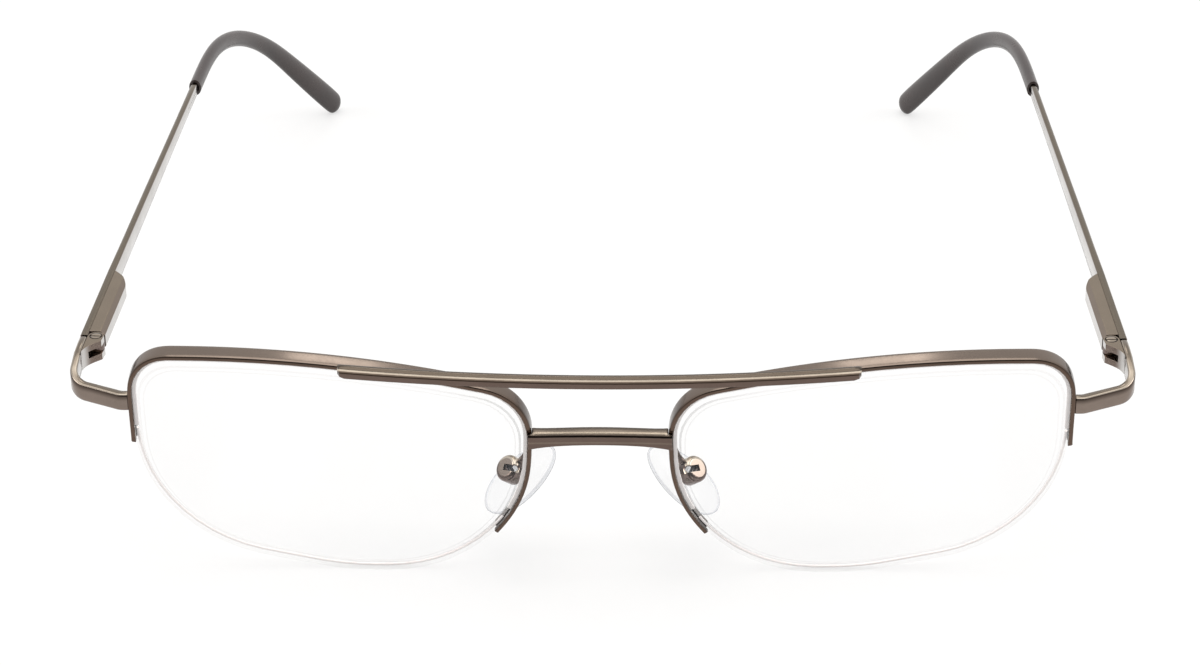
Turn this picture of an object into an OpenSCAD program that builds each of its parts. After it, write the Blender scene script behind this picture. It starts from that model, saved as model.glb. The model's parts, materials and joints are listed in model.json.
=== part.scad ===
// Half-rim reading glasses: a brow bar and a lower bridge join two metal half rims, a nylon
// cord holds each lens from below, and spring hinges carry the flat metal temples.
// Left and right are the wearer's. The left half is drawn, and the right half is its mirror.
// +X points to the wearer's left, +Y back along the temples, +Z up.
// The glasses stand open on the lower edges of the lenses and on the ends of the tips.

/* [Lenses] */
// Width of one lens
lens_a = 50.6; // [44:0.2:60]
// Height of one lens
lens_b = 32.6; // [28:0.2:40]
// Shortest distance between the lenses
bridge_width = 18.8; // [15:0.2:22]
// Radius of the front surface
lens_front_r = 130; // [110:5:200]
// Radius of the back surface, longer than the front one on a reading lens
lens_back_r = 165; // [140:5:300]
// Thickness in the middle of the lens
lens_thick = 2.5; // [2.2:0.1:3.5]
// Depth of the groove round the edge
groove_deep = 0.45; // [0.3:0.05:0.6]
// Width of the groove round the edge
groove_wide = 0.6; // [0.5:0.05:0.8]
// Distance from the front surface to the middle of the groove
groove_back = 0.95; // [0.8:0.05:1.1]

/* [Front] */
// Width over the outer corners of the endpieces
front_width = 137.6; // [132:1:150]
// Lean of the front, top forward
tilt = 6.5; // [3:0.1:12]
// Turn of each lens plane, outer edge back
wrap = 2.2; // [1:0.1:6]
// Thickness of the eyewire, measured away from the lens
rim_wall = 0.65; // [0.6:0.05:1.2]
// Width of the eyewire, front to back
rim_wide = 2.45; // [1.8:0.05:3]
// Height above the lens bottom at which the rim ends beside the temple
rim_outer_end = 18.8; // [15:0.1:20]
// Height above the lens bottom at which the rim ends beside the nose
rim_nose_end = 6.3; // [5:0.1:9]
// Length of the brow bar
brow_length = 66; // [60:0.5:76]
// Height of the brow bar
brow_tall = 1.7; // [1.4:0.1:2.4]
// Thickness of the brow bar, front to back
brow_thick = 1.2; // [0.9:0.1:1.6]
// Drop of the middle of the brow bar below the lens top
brow_drop = 1.6; // [0.5:0.1:3]
// Rise of the brow bar's ends above its middle
brow_rise = 1.6; // [0.5:0.1:3]
// Height of the lower bridge in its middle
bridge_tall = 1.6; // [1.2:0.05:2]
// Thickness of the lower bridge, front to back
bridge_thick = 2.0; // [1.4:0.1:2.8]
// Drop of the lower bridge below the lens top
bridge_drop = 11.35; // [9:0.05:14]

/* [Endpieces and hinges] */
// Height of the endpiece where it leaves the rim
endpiece_tall = 2.4; // [2:0.1:3.2]
// Thickness of the endpiece where it leaves the rim
endpiece_thick = 1.3; // [1:0.05:1.5]
// Radius of the endpiece's outer corner
corner_r = 3.4; // [2.4:0.1:4.2]
// Distance from the foot of the front back to the hinge screw
hinge_back = 13.8; // [12:0.1:18]
// Height of the hinge, which is also the temple's at its front
hinge_tall = 2.8; // [2.6:0.1:3.6]
// Radius of the hinge knuckles
knuckle_r = 1.05; // [1:0.05:1.3]
// Radius of the screw's shank
screw_r = 0.42; // [0.35:0.01:0.5]
// Radius of the screw's head
screw_head_r = 0.82; // [0.7:0.01:0.9]
// Height of the middle knuckle
eye_tall = 0.9; // [0.8:0.05:1.2]
// Play of the spring hinge along the temple
spring_travel = 0.8; // [0.5:0.1:1]
// Length of the spring housing
housing_length = 17; // [16:0.2:20]

/* [Temples] */
// Length of a temple from the hinge screw to the end of its tip
temple_length = 144.5; // [136:0.5:150]
// Length of the plastic tip, along its bend
tip_length = 64.5; // [60:0.5:70]
// Length of the tip behind the ear bend
tip_behind_ear = 21.2; // [16:0.2:26]
// Thickness of the temple bar
bar_thick = 1.0; // [0.8:0.05:1.3]
// Height of the temple bar where it enters the tip
bar_tall_back = 2.0; // [1.8:0.1:2.8]
// Turn of the temple at the hinge, inwards
toe_in = 3.2; // [0:0.1:4]
// Further turn of the bar along its length, inwards
bar_bow = 0.3; // [0:0.1:4]
// Further turn of the tip through the ear bend, inwards
tip_turn = 26; // [16:0.5:28]
// Slope of the temple, up towards the back
temple_rise = 0.7; // [0:0.1:2]
// Radius of the ear bend
ear_bend_r = 43; // [30:1:50]
// Turn of the tip through the ear bend, downwards
tip_drop = 45; // [38:0.5:48]
// Thickness of the tip
tip_thick = 1.9; // [1.7:0.05:2.6]
// Height of the tip where the bar enters it
tip_tall = 2.6; // [2.4:0.1:3.6]
// Height of the tip's rounded end
tip_end_tall = 3.8; // [3.4:0.1:6]

/* [Nose pads] */
// Length of a pad
pad_length = 13.0; // [11:0.2:15]
// Width of a pad
pad_width = 6.8; // [6:0.2:8]
// Thickness of a pad
pad_thick = 1.8; // [1.5:0.1:2.4]
// Turn of the pad's top towards the nose
pad_splay = 46; // [20:1:48]
// Turn of the pad's face towards the back
pad_bevel = 30; // [20:1:40]
// Radius of the pad box
pad_box_r = 1.8; // [1.6:0.05:2.2]
// Radius of the pad arm's wire
pad_arm_r = 0.5; // [0.4:0.05:0.6]

/* [Clearances] */
// Gap between pieces that are soldered, pressed or drawn together
seat_gap = 0.02; // [0.01:0.01:0.04]
// Radial clearance of a pivot
pivot_gap = 0.05; // [0.02:0.01:0.08]
// Gap between the endpiece and the temple, which face each other at the hinge
butt_gap = 0.3; // [0.3:0.05:0.5]

/* [Hidden] */

metal = [0.40, 0.36, 0.33];
metal_light = [0.62, 0.57, 0.50];
steel = [0.70, 0.70, 0.70];
tip_plastic = [0.20, 0.18, 0.17];
clear_plastic = [0.86, 0.90, 0.93, 0.5];
clear_lens = [0.80, 0.88, 0.92, 0.35];

// Small sizes that follow the real parts and are rarely changed
edge_round = 0.18;
brow_round = 0.35;
channel_deep = 0.3;
cord_r = 0.2;
lap_thick = 0.6;
lap_reach = 0.55;
brow_height = lens_b - brow_drop;
bridge_height = lens_b - bridge_drop;
arm_seat = [-0.08 - rim_wall / 2, lens_b - 13.6];
endpiece_drop = 8.4;
corner_bulge = 0.28;
$fn = 64;

function unit(v) = v / norm(v);
function mix(a, b, t) = a + (b - a) * t;
function ease(t) = let (s = min(1, max(0, t))) s * s * (3 - 2 * s);
function turned(v, angle) = [
    v[0] * cos(angle) - v[1] * sin(angle),
    v[0] * sin(angle) + v[1] * cos(angle)
];

// The lens outline, seen from the front, has six rounded corners, counterclockwise from
// the lower nose corner: place, then radius. Its box is lens_a wide and lens_b high.
nose_lean = 0.74;
nose_bulge = 0.2;
nose_drop = 5.9;
outer_drop = 1.45;
crown = 1.7;
crown_from_outer = 24.6;
flat_end = 23.8;
outer_rise = 5;
corners = [
    [nose_lean, 0, 18.2],
    [flat_end, 0, 38],
    [lens_a, outer_rise, 18.7],
    [lens_a, lens_b - outer_drop, 5.6],
    [lens_a - crown_from_outer, lens_b + crown, 92],
    [-nose_bulge, lens_b - nose_drop, 7.6]
];
corner_steps = [13, 3, 11, 7, 10, 8];
LOW_NOSE = 0;
LOW_OUTER = 2;
TOP_OUTER = 3;
TOP = 4;
TOP_NOSE = 5;

function corner(i) = let (c = corners[(i + 6) % 6]) [c[0], c[1]];
function arc_normal(i) = let (d = unit(corner(i) - corner(i - 1))) [d[1], -d[0]];
function arc_start(i) = atan2(arc_normal(i)[1], arc_normal(i)[0]);
function arc_swing(i) =
    let (a = arc_normal(i), b = arc_normal(i + 1))
    atan2(a[0] * b[1] - a[1] * b[0], a * b);
// Length of side that a corner's arc takes, and the arc's radius, which its sides limit
function arc_reach(i) = corners[(i + 6) % 6][2] * tan(arc_swing(i) / 2);
function side_share(i) = norm(corner(i + 1) - corner(i)) / (arc_reach(i) + arc_reach(i + 1));
function arc_r(i) = corners[i][2] * min(1, side_share(i - 1), side_share(i));
function arc_centre(i) =
    let (a = arc_normal(i), b = arc_normal(i + 1))
    corner(i) - arc_r(i) * (a + b) / (1 + a * b);
// Points of one corner, moved out by grow, between two shares of its arc
function corner_arc(i, grow, from = 0, to = 1) =
    let (n = corner_steps[i])
    [
        for (share = concat([from], [for (k = [1 : n - 1]) if (from < k / n && k / n < to) k / n], [to]))
            let (t = arc_start(i) + arc_swing(i) * share)
            arc_centre(i) + (arc_r(i) + grow) * [cos(t), sin(t)]
    ];
function outline(grow) = [for (i = [0 : 5]) each corner_arc(i, grow)];

// Share of the lower nose corner at which the rim ends
function nose_share(height) =
    let (c = arc_centre(LOW_NOSE), fall = asin((c[1] - height) / arc_r(LOW_NOSE)))
    (180 + fall - (arc_start(LOW_NOSE) + 360) % 360) / arc_swing(LOW_NOSE);
// The rim's route: up beside the temple, over the top and down beside the nose
side_heights = [
    for (t = [0.3, 0.65]) mix(rim_outer_end, arc_centre(TOP_OUTER)[1], t)
];
function rim_route(grow) = concat(
    [for (h = concat([rim_outer_end], side_heights)) [lens_a + grow, h]],
    corner_arc(TOP_OUTER, grow),
    corner_arc(TOP, grow),
    corner_arc(TOP_NOSE, grow),
    corner_arc(LOW_NOSE, grow, 0, nose_share(rim_nose_end))
);
// The liner stops short of both rim ends, clear of the cord that is tied there
function beside_cord(p) =
    p[1] < (p[0] > lens_a / 2 ? rim_outer_end : rim_nose_end) + cord_hold + cord_gap;
function liner_route(grow) = let (route = rim_route(grow), plain = rim_route(0)) [
    for (i = [0 : len(route) - 1]) if (!beside_cord(plain[i])) route[i]
];
// The cord's route: on from the nose end of the rim, round the bottom and up
function cord_route(grow) = concat(
    corner_arc(LOW_NOSE, grow, nose_share(rim_nose_end + cord_hold), 1),
    corner_arc(1, grow),
    corner_arc(LOW_OUTER, grow),
    [[lens_a + grow, rim_outer_end + cord_hold]]
);
cord_hold = 1.6;
cord_gap = 0.3;

// Depth behind the foremost point of the front, at a distance behind the lens surface
lens_axis = [lens_a / 2 - lens_front_r * sin(wrap), lens_b / 2];
function depth(p, back = 0) =
    let (q = p - lens_axis)
    lens_front_r - sqrt(pow(lens_front_r - back, 2) - q * q);
// A point of the front, from its place in the lens box and its distance behind the surface
function front_point(p, back) = [bridge_width / 2 + p[0], depth(p, back), p[1]];
// Direction straight back from the surface
function front_normal(p) =
    unit([lens_axis[0] - p[0], lens_front_r - depth(p), lens_axis[1] - p[1]]);

// The front leans about its foot, and the foot is lifted until the lens edge meets z = 0
function world(p) = [
    p[0],
    p[1] * cos(tilt) - p[2] * sin(tilt),
    p[1] * sin(tilt) + p[2] * cos(tilt) + foot_lift
];
foot_lift = -min([
    for (p = outline(0)) depth(p) * sin(tilt) + p[1] * cos(tilt)
]);

// Solid through a list of rings. Seen along the travel, each ring runs counterclockwise.
module loft(rings) {
    n = len(rings[0]);
    last = (len(rings) - 1) * n;
    sides = [
        for (i = [0 : len(rings) - 2], j = [0 : n - 1])
            let (a = i * n + j, b = i * n + (j + 1) % n)
            each [[a, b, b + n], [a, b + n, a + n]]
    ];
    first_cap = [for (j = [n - 1 : -1 : 0]) j];
    last_cap = [for (j = [0 : n - 1]) last + j];
    polyhedron([for (ring = rings) each ring], concat(sides, [first_cap, last_cap]));
}

// Outline of a bar: a rectangle with each corner cut by an arc
function bar_section(thick, tall, round) = [
    for (q = [0 : 3], k = [0 : 2])
        let (sx = q == 0 || q == 3 ? 1 : -1, sz = q < 2 ? 1 : -1, t = 90 * q + 45 * k)
        [
            sx * (thick / 2 - round) + round * cos(t),
            sz * (tall / 2 - round) + round * sin(t)
        ]
];
function oval_section(thick, tall, n) = [
    for (k = [0 : n - 1]) [thick / 2 * cos(360 * k / n), tall / 2 * sin(360 * k / n)]
];
function ring_at(centre, right, up, section) = [
    for (q = section) centre + right * q[0] + up * q[1]
];

// Places across the hinge, from the screw outwards
bar_centre = knuckle_r + seat_gap * 2.5 + bar_thick / 2;
bar_inner = bar_centre - bar_thick / 2;
bar_outer = bar_centre + bar_thick / 2;
mouth = knuckle_r + 0.2;

// Temple route, in the hinge's own frame, as arc lengths from the screw
ear_bend_length = ear_bend_r * tip_drop * PI / 180;
ear_bend_end = temple_length - tip_behind_ear;
ear_bend_start = ear_bend_end - ear_bend_length;
bar_length = temple_length - tip_length;
housing_end = mouth + housing_length;
function temple_yaw(s) =
    bar_bow * max(0, s - housing_end) / (ear_bend_start - housing_end)
    + tip_turn * ease((s - ear_bend_start + 6) / (ear_bend_length + 14));
function temple_pitch(s) = tip_drop * min(1, max(0, (s - ear_bend_start) / ear_bend_length));
function temple_heading(s) =
    let (yaw = temple_yaw(s), pitch = temple_pitch(s))
    [-sin(yaw) * cos(pitch), cos(yaw) * cos(pitch), -sin(pitch)];
function temple_right(s) = [cos(temple_yaw(s)), sin(temple_yaw(s)), 0];
function temple_up(s) = cross(temple_right(s), temple_heading(s));
// Places at each of the arc lengths in the list
function temple_walk(list) = [
    for (
        i = 0, p = [bar_centre, 0, 0] + list[0] * [0, 1, 0];
        i < len(list);
        p = i + 1 < len(list)
            ? p + (list[i + 1] - list[i]) * temple_heading((list[i] + list[i + 1]) / 2)
            : p,
        i = i + 1
    ) p
];
function steps(from, to, n) = [for (k = [0 : n]) mix(from, to, k / n)];
bar_steps = concat(
    [butt_gap / 2, 8, housing_end],
    steps(housing_end + 8, bar_length - 1.5, 6),
    [bar_length + 0.5]
);
tip_front_steps = steps(bar_length, ear_bend_start - 4, 3);
tip_bend_steps = steps(ear_bend_start - 1, ear_bend_end + 1, 7);
tip_rear_steps = steps(ear_bend_end + 5, temple_length - tip_end_tall / 2, 3);
// The rounded end closes over the last half height of the tip
tip_end_steps = [for (a = [25, 45, 62, 76, 86]) temple_length - tip_end_tall / 2 * (1 - sin(a))];
tip_steps = concat(tip_front_steps, tip_bend_steps, tip_rear_steps, tip_end_steps);
tip_places = temple_walk(concat([0], bar_steps, tip_steps));
function tip_index(k) = 1 + len(bar_steps) + k;
function tip_close(s) =
    let (t = max(0, (s - temple_length + tip_end_tall / 2) / (tip_end_tall / 2)))
    sqrt(1 - t * t);
function tip_height_at(s) =
    mix(tip_tall, tip_end_tall, ease((s - ear_bend_end + 14) / (temple_length - ear_bend_end + 10)))
    * tip_close(s);
function tip_thick_at(s) = tip_thick * mix(1, tip_close(s), 0.85);
function tip_ring(k, n) =
    let (s = tip_steps[k])
    ring_at(
        tip_places[tip_index(k)], temple_right(s), temple_up(s),
        oval_section(tip_thick_at(s), tip_height_at(s), n)
    );
tip_rings = [for (k = [0 : len(tip_steps) - 1]) tip_ring(k, 14)];
// Distances back and up from the hinge, with the temple's toe-in and rise
function toed(p) = p[0] * sin(toe_in) + p[1] * cos(toe_in);
lowest_tip = min([
    for (ring = tip_rings) for (p = ring) p[2] * cos(temple_rise) + toed(p) * sin(temple_rise)
]);
farthest_back = hinge_back + max([
    for (ring = tip_rings) for (p = ring) toed(p) * cos(temple_rise) - p[2] * sin(temple_rise)
]);

// The temple stands as high as its own tip reaches down
temple_z = -lowest_tip;
hinge_x = front_width / 2 - bar_outer - corner_bulge;
hinge_place = [hinge_x, hinge_back, temple_z];

// Brow bar, laid on the fronts of both rims
function brow_middle(x) = brow_height + brow_rise * pow(2 * x / brow_length, 2);
brow_foot = brow_middle(bridge_width / 2 + lens_axis[0]) - brow_tall / 2;
brow_rest = depth([lens_axis[0], brow_foot]) - seat_gap;

// Row origin: under the middle of the whole
front_edge = min([
    for (x = [0 : 5 : 30]) world([x, brow_rest - brow_thick, brow_middle(x) + brow_tall / 2])[1]
]);
module row() {
    translate([0, -(front_edge + farthest_back) / 2, 0]) children();
}
module left() {
    row() children();
}
module right() {
    row() mirror([1, 0, 0]) children();
}
module front() {
    translate([0, 0, foot_lift]) rotate([tilt, 0, 0]) children();
}
module at_hinge() {
    translate(hinge_place) rotate([temple_rise, 0, 0]) rotate([0, 0, toe_in]) children();
}

// Front

// Eyewire section, as distance from the lens edge and distance behind the front surface
rim_inner = 2 * seat_gap;
rim_outer = rim_inner + rim_wall;
channel_bottom = rim_inner + channel_deep;
rim_section = let (h = groove_wide / 2, e = edge_round, g = groove_back) [
    [rim_inner, e / 2], [rim_inner, g - h], [channel_bottom, g - h],
    [channel_bottom, g + h], [rim_inner, g + h], [rim_inner, rim_wide - e / 2],
    [rim_inner + e / 2, rim_wide],
    [rim_outer - e, rim_wide], [rim_outer - e / 3, rim_wide - e / 3], [rim_outer, rim_wide - e],
    [rim_outer, e], [rim_outer - e / 3, e / 3], [rim_outer - e, 0], [rim_inner + e / 2, 0]
];
// Rings along a route whose points are given for each distance from the lens edge
function channel_rings(section, routes) = [
    for (i = [0 : len(routes[0]) - 1]) [
        for (k = [0 : len(section) - 1]) front_point(routes[k][i], section[k][1])
    ]
];

module rim() {
    color(metal) front() loft(channel_rings(
        rim_section,
        [for (q = rim_section) rim_route(q[0])]
    ));
}

liner_section = let (h = groove_wide / 2 - 2.5 * seat_gap, g = groove_back) [
    [-groove_deep + seat_gap, g - h], [-groove_deep + seat_gap, g + h],
    [channel_bottom - seat_gap, g + h], [channel_bottom - seat_gap, g - h]
];
module rim_liner() {
    color(clear_plastic) front() loft(channel_rings(
        liner_section,
        [for (q = liner_section) liner_route(q[0])]
    ));
}

cord_back = groove_back;
cord_inset = -cord_r - seat_gap;
cord_section = [
    for (k = [0 : 7]) [cord_inset + cord_r * cos(-45 * k), cord_back + cord_r * sin(-45 * k)]
];
module nylon_cord() {
    color(clear_plastic) front() loft(channel_rings(
        cord_section,
        [for (q = cord_section) cord_route(q[0])]
    ));
}

module lens_prism(grow) {
    translate([bridge_width / 2, 0, 0]) rotate([90, 0, 0])
        translate([0, 0, -12]) linear_extrude(14) polygon(outline(grow));
}
// Ball whose surface lies a given distance behind the lens front
module lens_ball(radius, back) {
    translate([bridge_width / 2 + lens_axis[0], back + radius, lens_axis[1]])
        sphere(radius, $fn = 200);
}
module lens() {
    color(clear_lens) front() difference() {
        intersection() {
            lens_prism(0);
            lens_ball(lens_front_r, 0);
        }
        lens_ball(lens_back_r, lens_thick);
        intersection() {
            difference() {
                lens_prism(1);
                lens_prism(-groove_deep);
            }
            difference() {
                lens_ball(lens_front_r - groove_back + groove_wide / 2, groove_back - groove_wide / 2);
                lens_ball(lens_front_r - groove_back - groove_wide / 2, groove_back + groove_wide / 2);
            }
        }
    }
}

function brow_ring(x, share) =
    let (thick = brow_thick * share, tall = brow_tall * mix(0.5, 1, share))
    ring_at(
        [x, brow_rest - brow_thick / 2, brow_middle(x)],
        [0, -1, 0], [0, 0, 1],
        [for (q = bar_section(thick, tall, brow_round * share)) [q[0] - (brow_thick - thick) / 2, q[1]]]
    );
module brow_bar() {
    ends = brow_length / 2;
    color(metal) row() front() loft(concat(
        [brow_ring(-ends, 0.4), brow_ring(0.3 - ends, 0.8)],
        [for (x = steps(0.9 - ends, ends - 0.9, 22)) brow_ring(x, 1)],
        [brow_ring(ends - 0.3, 0.8), brow_ring(ends, 0.4)]
    ));
}

// Lower bridge: a shallow arch between the rims, whose ends lap over their fronts
bridge_front = depth([lap_reach, bridge_height + 1.2]) - seat_gap - lap_thick;
bridge_reach = bridge_width / 2 + lap_reach - rim_outer;
module bridge_face(reach) {
    arch = 0.45;
    flare = 0.35;
    top = [
        for (k = [-8 : 8]) let (t = k / 8)
            [reach * t, bridge_height + bridge_tall / 2 - arch * t * t + flare * pow(t, 6)]
    ];
    bottom = [
        for (k = [8 : -1 : -8]) let (t = k / 8)
            [reach * t, bridge_height - bridge_tall / 2 - arch * t * t - flare * pow(t, 4)]
    ];
    polygon(concat(bottom, top));
}
// Straight through the front, between two distances behind its foremost point
module through_front(from, to) {
    translate([0, to, 0]) rotate([90, 0, 0]) linear_extrude(to - from) children();
}
module lower_bridge() {
    lap_back = bridge_front + lap_thick;
    color(metal) row() front() difference() {
        through_front(bridge_front, bridge_front + bridge_thick) bridge_face(bridge_reach);
        for (s = [-1, 1])
            through_front(lap_back, lap_back + bridge_thick)
                scale([s, 1]) translate([bridge_width / 2, 0])
                    polygon(outline(rim_outer + seat_gap));
    }
}

// Endpiece: from the rim's outer side round the corner to the hinge

endpiece_start = world(front_point([lens_a + rim_outer + seat_gap, lens_b - endpiece_drop], 0.8));
outer_face_end = [hinge_x, hinge_back] + turned([bar_outer, -butt_gap / 2], toe_in);
corner_setback = 8.6;
endpiece_corner = outer_face_end - turned([0, corner_setback], toe_in);
endpiece_bend = [endpiece_start[0] + 1.2, endpiece_start[1]];
endpiece_knots = [
    [endpiece_start[0], endpiece_start[1]], endpiece_bend, endpiece_corner, outer_face_end
];
function knot_heading(i) = let (d = endpiece_knots[i + 1] - endpiece_knots[i]) atan2(d[1], d[0]);
// Points round one knot of the outer face, each with its heading
function knot_arc(i, r, n) =
    let (
        a = knot_heading(i - 1), b = knot_heading(i),
        cut = r * tan((b - a) / 2),
        first = endpiece_knots[i] - cut * [cos(a), sin(a)],
        centre = first + r * [-sin(a), cos(a)]
    )
    [for (k = [0 : n]) let (h = mix(a, b, k / n)) concat(centre + r * [sin(h), -cos(h)], [h])];
endpiece_route = concat(
    [concat(endpiece_knots[0], [0])],
    knot_arc(1, 2, 3),
    knot_arc(2, corner_r, 9),
    [for (t = [0.35, 0.7, 1])
        concat(mix(endpiece_corner, outer_face_end, mix(0.3, 1, t)), [90 + toe_in])]
);
function endpiece_ring(p) =
    let (
        t = (p[1] - endpiece_start[1]) / (outer_face_end[1] - endpiece_start[1]),
        thick = mix(endpiece_thick, bar_thick, ease(t / 0.4)),
        tall = mix(endpiece_tall, hinge_tall, ease(t / 0.8)),
        z = mix(endpiece_start[2], temple_z, ease((t - 0.05) / 0.75)),
        right = [sin(p[2]), -cos(p[2]), 0]
    )
    ring_at(
        [p[0], p[1], z] - right * thick / 2, right, [0, 0, 1],
        bar_section(thick, tall, 0.3)
    );
module endpiece() {
    color(metal) loft([for (p = endpiece_route) endpiece_ring(p)]);
}

// Hinge, in its own frame: the screw is the Z axis, and the temple runs along +Y

leaf_tall = (hinge_tall - eye_tall) / 2 - pivot_gap;
plate_length = 4.4;
plate_thick = 0.6;
head_tall = 0.4;
bore_r = screw_r + pivot_gap;
// Hollow front side of the leaves, from the toe beside the knuckle to the endpiece
leaf_toe = [0.1 - knuckle_r, -1.25];
leaf_foot = [bar_inner - seat_gap, -plate_length];
leaf_curve = [leaf_toe, leaf_toe + [0.9, -0.95], leaf_foot + [-0.15, 1.5], leaf_foot];

module front_hinge() {
    slot = eye_tall + 2 * pivot_gap;
    color(metal) at_hinge() difference() {
        translate([0, 0, -hinge_tall / 2]) union() {
            cylinder(h = hinge_tall, r = knuckle_r);
            linear_extrude(hinge_tall) polygon(concat(
                [[bar_inner - seat_gap, -butt_gap / 2], [0, 0], [-knuckle_r, 0]],
                [for (t = steps(0, 1, 10)) bezier(leaf_curve, t)]
            ));
        }
        translate([0, 0, -slot / 2]) {
            cylinder(h = slot, r = knuckle_r + 0.1);
            translate([bar_inner - plate_thick - 10, -plate_length - 1, 0])
                cube([10, plate_length + 1, slot]);
        }
        translate([0, 0, -hinge_tall / 2 - 1]) cylinder(h = hinge_tall + 2, r = screw_r + seat_gap);
        translate([0, 0, hinge_tall / 2 - head_tall - seat_gap])
            cylinder(h = head_tall + 1, r = screw_head_r + seat_gap);
    }
}

module hinge_screw() {
    color(steel) at_hinge() difference() {
        union() {
            translate([0, 0, -hinge_tall / 2])
                cylinder(h = hinge_tall - head_tall / 2, r = screw_r);
            translate([0, 0, hinge_tall / 2 - head_tall]) cylinder(h = head_tall, r = screw_head_r);
        }
        translate([-1, -0.11, hinge_tall / 2 - 0.2]) cube([2, 0.22, 1]);
    }
}

// Spring hinge: the shuttle's rod runs in the housing, and the spring between the bushing
// and the rod's head draws the temple back to the front
neck_wide = 1.15;
neck_end = mouth + 2.05;
bushing_start = neck_end + 0.1;
bushing_end = bushing_start + 1.25;
rod_r = 0.3;
spring_room = 6.95;
rod_head_start = bushing_end + spring_room + spring_travel;
rod_head_thick = 0.6;
bore_wide_r = 0.76;
bore_end = rod_head_start + rod_head_thick + 0.4;
spring_gap = 0.05;
spring_r = 0.46;
spring_wire_r = 0.1;
spring_turns = 11;

module along(from, to, r) {
    translate([0, from, 0]) rotate([-90, 0, 0]) cylinder(h = to - from, r = r, $fn = 32);
}

module shuttle() {
    color(metal_light) at_hinge() {
        difference() {
            union() {
                translate([0, 0, -eye_tall / 2]) cylinder(h = eye_tall, r = knuckle_r);
                translate([-neck_wide / 2, 0, -eye_tall / 2]) cube([neck_wide, neck_end, eye_tall]);
                along(neck_end - 0.2, rod_head_start + 0.2, rod_r);
                along(rod_head_start, rod_head_start + rod_head_thick, bore_r + 0.1);
            }
            translate([0, 0, -hinge_tall]) cylinder(h = 2 * hinge_tall, r = bore_r);
        }
    }
}

module hinge_spring() {
    first = bushing_end + spring_gap + spring_wire_r;
    rise = rod_head_start - spring_gap - spring_wire_r - first;
    per_turn = 8;
    last = spring_turns * per_turn;
    lead = atan2(rise, 2 * PI * spring_r * spring_turns);
    color(steel) at_hinge() loft([
        for (k = [0 : last])
            let (
                t = 360 * k / per_turn,
                out = [cos(t), 0, sin(t)],
                across = [-sin(t) * sin(lead), -cos(lead), cos(t) * sin(lead)]
            )
            ring_at(
                [0, first + rise * k / last, 0] + spring_r * out, out, across,
                [for (j = [0 : 5]) spring_wire_r * [cos(60 * j), sin(60 * j)]]
            )
    ]);
}

module spring_bushing() {
    color(steel) at_hinge() difference() {
        along(bushing_start, bushing_end, bore_wide_r - seat_gap / 2);
        along(bushing_start - 1, bushing_end + 1, rod_r + pivot_gap);
    }
}

module spring_housing() {
    inner = 0.1 - knuckle_r;
    ramp = 3.8;
    ramp_curve = [
        [inner, housing_end - ramp], [inner, housing_end - 0.6 * ramp],
        [inner + 0.7, housing_end - 0.35 * ramp], [bar_inner, housing_end]
    ];
    bevel = 0.6;
    half = hinge_tall / 2;
    color(metal) at_hinge() difference() {
        intersection() {
            translate([0, 0, -half]) linear_extrude(hinge_tall) polygon([
                [bar_inner, mouth], [inner, mouth],
                each [for (t = steps(0, 1, 8)) bezier(ramp_curve, t)]
            ]);
            translate([0, housing_end, 0]) rotate([90, 0, 0]) linear_extrude(housing_end) polygon([
                [bar_inner, -half], [bar_inner, half], [inner + bevel, half],
                [inner, half - bevel], [inner, -half + bevel], [inner + bevel, -half]
            ]);
        }
        along(mouth - 1, bushing_end + 0.05, bore_wide_r);
        along(mouth, bore_end, rod_r + spring_gap + 2 * spring_wire_r + 0.1);
    }
}

module temple_bar() {
    places = temple_walk(concat([0], bar_steps, core_steps));
    all_steps = concat(bar_steps, core_steps);
    color(metal) at_hinge() loft([
        for (k = [0 : len(all_steps) - 1])
            let (
                s = all_steps[k],
                t = (s - housing_end) / (bar_length - housing_end),
                inside = s > bar_length,
                thick = inside ? core_thick : mix(bar_thick, 0.9 * bar_thick, ease(t)),
                tall = inside ? core_tall : mix(hinge_tall, bar_tall_back, ease(t))
            )
            ring_at(
                places[k + 1], temple_right(s), temple_up(s),
                bar_section(thick, tall, inside ? 0.2 : s > housing_end ? 0.3 : 0.14)
            )
    ]);
}
// The bar runs on inside the tip as a thinner core
core_thick = 0.8;
core_tall = 1.3;
core_length = 44;
core_steps = [
    for (s = concat(tip_front_steps, tip_bend_steps, tip_rear_steps))
        if (s > bar_length + 1 && s < bar_length + core_length) s
];

module temple_tip() {
    color(tip_plastic) at_hinge() loft(concat(core_hole_rings, tip_rings));
}
// The hole for the core, from its blind end forward to the tip's mouth
core_hole_steps = [
    for (k = [len(tip_steps) - 1 : -1 : 0])
        if (tip_steps[k] < bar_length + core_length + 3) k
];
core_hole_rings = [
    for (k = core_hole_steps)
        let (s = tip_steps[k])
        ring_at(
            tip_places[tip_index(k)], temple_right(s), temple_up(s),
            oval_section(core_thick + 0.42, core_tall + 0.5, 14)
        )
];

// Nose pads

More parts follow.
